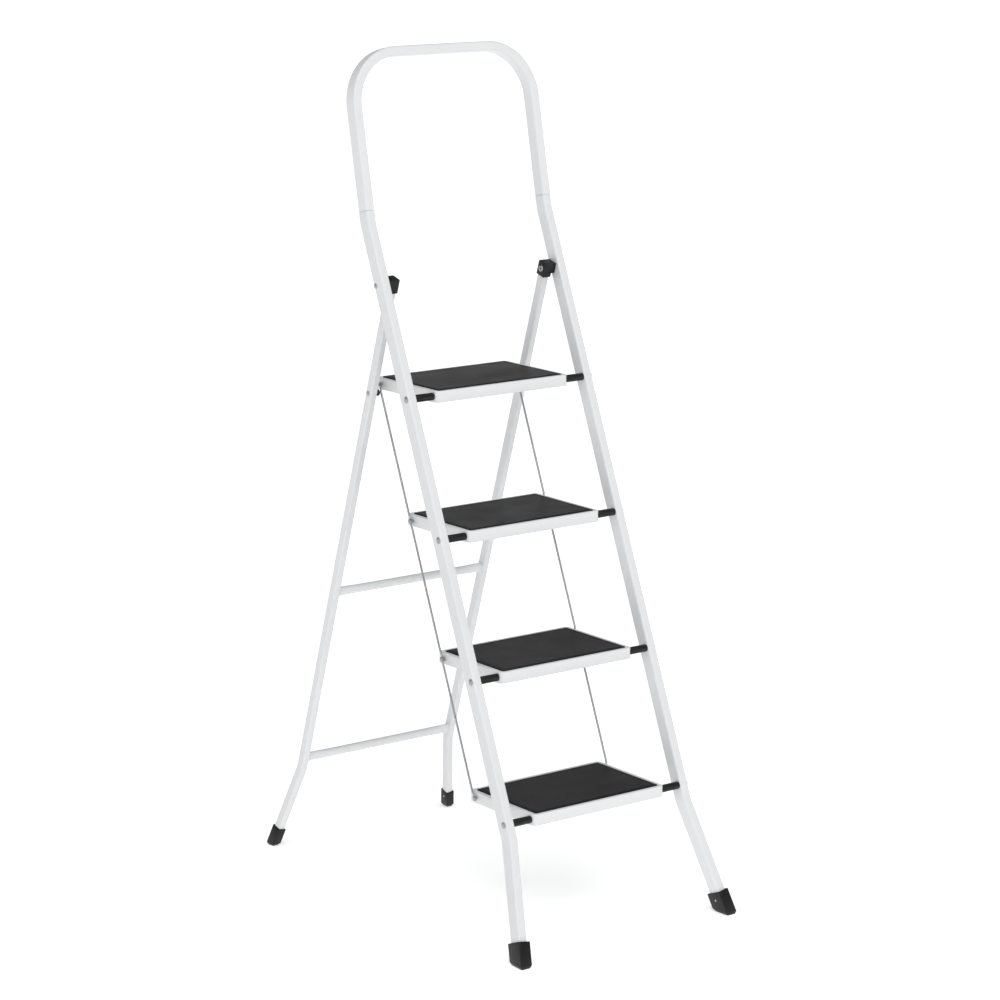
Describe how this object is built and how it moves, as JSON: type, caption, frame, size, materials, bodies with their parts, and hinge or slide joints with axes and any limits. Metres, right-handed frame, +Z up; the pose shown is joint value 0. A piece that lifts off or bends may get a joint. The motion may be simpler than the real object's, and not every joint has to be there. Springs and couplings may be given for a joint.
{
  "type": "step stool",
  "caption": "Folding step ladder: tube frame with tall safety hoop, hinged rear legs, flat matted steps on axles with sleeves, steps joined by side wires, splayed feet with end caps",
  "frame": {"origin": "on the floor, under the middle of the opened ladder's bounding box", "axes": "+Z up; the climber stands at -Y and faces +Y; +X to the climber's right; left and right are the climber's"},
  "size_m": [0.4978, 0.8588, 1.5644],
  "materials": {
    "white": "off-white satin powder coat on thin steel tube and sheet",
    "mat": "dark anthracite non-slip mat, fine matt texture",
    "plastic": "black moulded plastic with a soft sheen",
    "zinc": "grey zinc-plated steel pins and wire"
  },
  "bodies": {
    "front_frame": {"left_stile": "white", "right_stile": "white", "hoop": "white", "front_left_foot": "plastic", "front_right_foot": "plastic", "step_axle_1": "zinc", "step_axle_2": "zinc", "step_axle_3": "zinc", "step_axle_4": "zinc", "left_sleeve_1": "plastic", "right_sleeve_1": "plastic", "left_sleeve_2": "plastic", "right_sleeve_2": "plastic", "left_sleeve_3": "plastic", "right_sleeve_3": "plastic", "left_sleeve_4": "plastic", "right_sleeve_4": "plastic", "left_hinge_bolt": "zinc", "right_hinge_bolt": "zinc"},
    "rear_frame": {"left_hinge_cap": "plastic", "left_rear_leg": "white", "rear_left_foot": "plastic", "left_support_pin": "zinc", "left_support_block": "plastic", "right_hinge_cap": "plastic", "right_rear_leg": "white", "rear_right_foot": "plastic", "right_support_pin": "zinc", "right_support_block": "plastic", "upper_crossbar": "white", "lower_crossbar": "white"},
    "step_1": {"step_tray_1": "white", "step_mat_1": "mat", "left_rivet_1": "zinc", "right_rivet_1": "zinc"},
    "step_2": {"step_tray_2": "white", "step_mat_2": "mat", "left_rivet_2": "zinc", "right_rivet_2": "zinc"},
    "step_3": {"step_tray_3": "white", "step_mat_3": "mat", "left_rivet_3": "zinc", "right_rivet_3": "zinc"},
    "step_4": {"step_tray_4": "white", "step_mat_4": "mat", "left_rivet_4": "zinc", "right_rivet_4": "zinc"},
    "left_wire_1": {"left_link_1": "zinc"},
    "left_wire_2": {"left_link_2": "zinc"},
    "left_wire_3": {"left_link_3": "zinc"},
    "right_wire_1": {"right_link_1": "zinc"},
    "right_wire_2": {"right_link_2": "zinc"},
    "right_wire_3": {"right_link_3": "zinc"}
  },
  "joints": [
    {"name": "rear_fold", "type": "hinge", "parent": "front_frame", "child": "rear_frame", "pos_m": [0, 0.0584, 1.1455], "axis": [-1, 0, 0], "range_deg": [0, 38.2]},
    {"name": "step_1_fold", "type": "hinge", "parent": "front_frame", "child": "step_1", "pos_m": [0, -0.3251, 0.2315], "axis": [1, 0, 0], "range_deg": [0, 65]},
    {"name": "step_2_fold", "type": "hinge", "parent": "front_frame", "child": "step_2", "pos_m": [0, -0.22813, 0.4715], "axis": [1, 0, 0], "range_deg": [0, 65]},
    {"name": "step_3_fold", "type": "hinge", "parent": "front_frame", "child": "step_3", "pos_m": [0, -0.13117, 0.7115], "axis": [1, 0, 0], "range_deg": [0, 65]},
    {"name": "step_4_fold", "type": "hinge", "parent": "front_frame", "child": "step_4", "pos_m": [0, -0.0342, 0.9515], "axis": [1, 0, 0], "range_deg": [0, 65]},
    {"name": "left_wire_1_swing", "type": "hinge", "parent": "step_1", "child": "left_wire_1", "pos_m": [-0.1543, -0.165, 0.2305], "axis": [-1, 0, 0], "range_deg": [0, 65]},
    {"name": "left_wire_2_swing", "type": "hinge", "parent": "step_2", "child": "left_wire_2", "pos_m": [-0.1543, -0.06803, 0.4705], "axis": [-1, 0, 0], "range_deg": [0, 65]},
    {"name": "left_wire_3_swing", "type": "hinge", "parent": "step_3", "child": "left_wire_3", "pos_m": [-0.1543, 0.02893, 0.7105], "axis": [-1, 0, 0], "range_deg": [0, 65]},
    {"name": "right_wire_1_swing", "type": "hinge", "parent": "step_1", "child": "right_wire_1", "pos_m": [0.1543, -0.165, 0.2305], "axis": [-1, 0, 0], "range_deg": [0, 65]},
    {"name": "right_wire_2_swing", "type": "hinge", "parent": "step_2", "child": "right_wire_2", "pos_m": [0.1543, -0.06803, 0.4705], "axis": [-1, 0, 0], "range_deg": [0, 65]},
    {"name": "right_wire_3_swing", "type": "hinge", "parent": "step_3", "child": "right_wire_3", "pos_m": [0.1543, 0.02893, 0.7105], "axis": [-1, 0, 0], "range_deg": [0, 65]}
  ],
  "couplings": [
    {"joint": "step_1_fold", "follows": "rear_fold", "ratio": 1.7},
    {"joint": "step_2_fold", "follows": "rear_fold", "ratio": 1.7},
    {"joint": "step_3_fold", "follows": "rear_fold", "ratio": 1.7},
    {"joint": "step_4_fold", "follows": "rear_fold", "ratio": 1.7},
    {"joint": "left_wire_1_swing", "follows": "rear_fold", "ratio": 1.7},
    {"joint": "left_wire_2_swing", "follows": "rear_fold", "ratio": 1.7},
    {"joint": "left_wire_3_swing", "follows": "rear_fold", "ratio": 1.7},
    {"joint": "right_wire_1_swing", "follows": "rear_fold", "ratio": 1.7},
    {"joint": "right_wire_2_swing", "follows": "rear_fold", "ratio": 1.7},
    {"joint": "right_wire_3_swing", "follows": "rear_fold", "ratio": 1.7}
  ]
}
